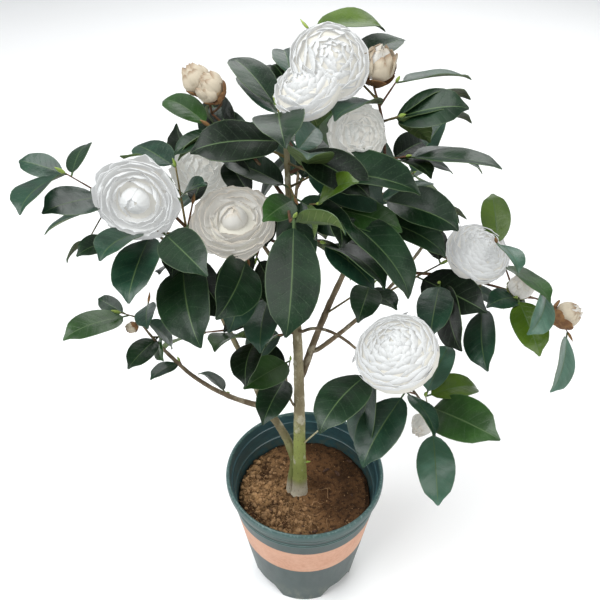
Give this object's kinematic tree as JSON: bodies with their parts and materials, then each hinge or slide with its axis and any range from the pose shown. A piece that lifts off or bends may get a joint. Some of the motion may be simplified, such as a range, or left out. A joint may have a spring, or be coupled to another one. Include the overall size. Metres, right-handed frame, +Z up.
{
  "type": "potted camellia shrub",
  "caption": "Evergreen flowering shrub in a round plastic nursery pot: forked woody stems carry glossy dark leaves and large white double blooms, standing on the pot's arched foot.",
  "frame": {"origin": "middle of the pot's flat underside, where it stands", "axes": "+Z up along the pot's axis; -Y towards the side where a twig arches out to a low bloom; +X to the right of that side"},
  "size_m": [0.538, 0.3256, 0.7213],
  "materials": {
    "pot_plastic": "moulded dark green polypropylene, satin outside and glossier inside, with a bare tan printed band",
    "soil": "crumbly brown peat and loam with tan clumps",
    "bark": "smooth grey green bark with pale lichen and small raised pores",
    "twig_bark": "thin brown twig bark, reddish on young shoots",
    "foliage": "leathery dark green leaves, glossy above, olive and duller below, with white layered blooms and cream buds"
  },
  "bodies": {
    "root": {"bough_arch": "twig_bark", "bough_back": "twig_bark", "bough_back_left": "twig_bark", "bough_back_right": "twig_bark", "bough_centre_front": "twig_bark", "bough_centre_left": "twig_bark", "bough_far_right": "twig_bark", "bough_left_tip": "twig_bark", "bough_low_left": "twig_bark", "bough_low_right": "twig_bark", "bough_right": "twig_bark", "bough_thin_left": "twig_bark", "bough_top_right": "twig_bark", "bough_upper_left": "twig_bark", "bough_upper_right": "twig_bark", "foliage_back": "foliage", "foliage_back_left": "foliage", "foliage_back_right": "foliage", "foliage_centre": "foliage", "foliage_centre_front": "foliage", "foliage_centre_left": "foliage", "foliage_centre_left_low": "foliage", "foliage_centre_right": "foliage", "foliage_core": "foliage", "foliage_far_right": "foliage", "foliage_far_right_tip": "foliage", "foliage_front_right": "foliage", "foliage_front_right_low": "foliage", "foliage_inner_left": "foliage", "foliage_left_hanging": "foliage", "foliage_left_outer": "foliage", "foliage_left_tip": "foliage", "foliage_left_under": "foliage", "foliage_low_left": "foliage", "foliage_low_left_tip": "foliage", "foliage_low_right": "foliage", "foliage_right_hanging": "foliage", "foliage_right_mid": "foliage", "foliage_right_outer": "foliage", "foliage_right_shelf": "foliage", "foliage_right_spur": "foliage", "foliage_top": "foliage", "foliage_top_back": "foliage", "foliage_top_front": "foliage", "foliage_top_right": "foliage", "foliage_upper_left": "foliage", "foliage_upper_left_tip": "foliage", "foliage_upper_right": "foliage", "fork_right": "twig_bark", "pot": "pot_plastic", "soil": "soil", "stem_left": "bark", "stem_mid_left": "bark", "trunk": "bark"}
  },
  "joints": []
}
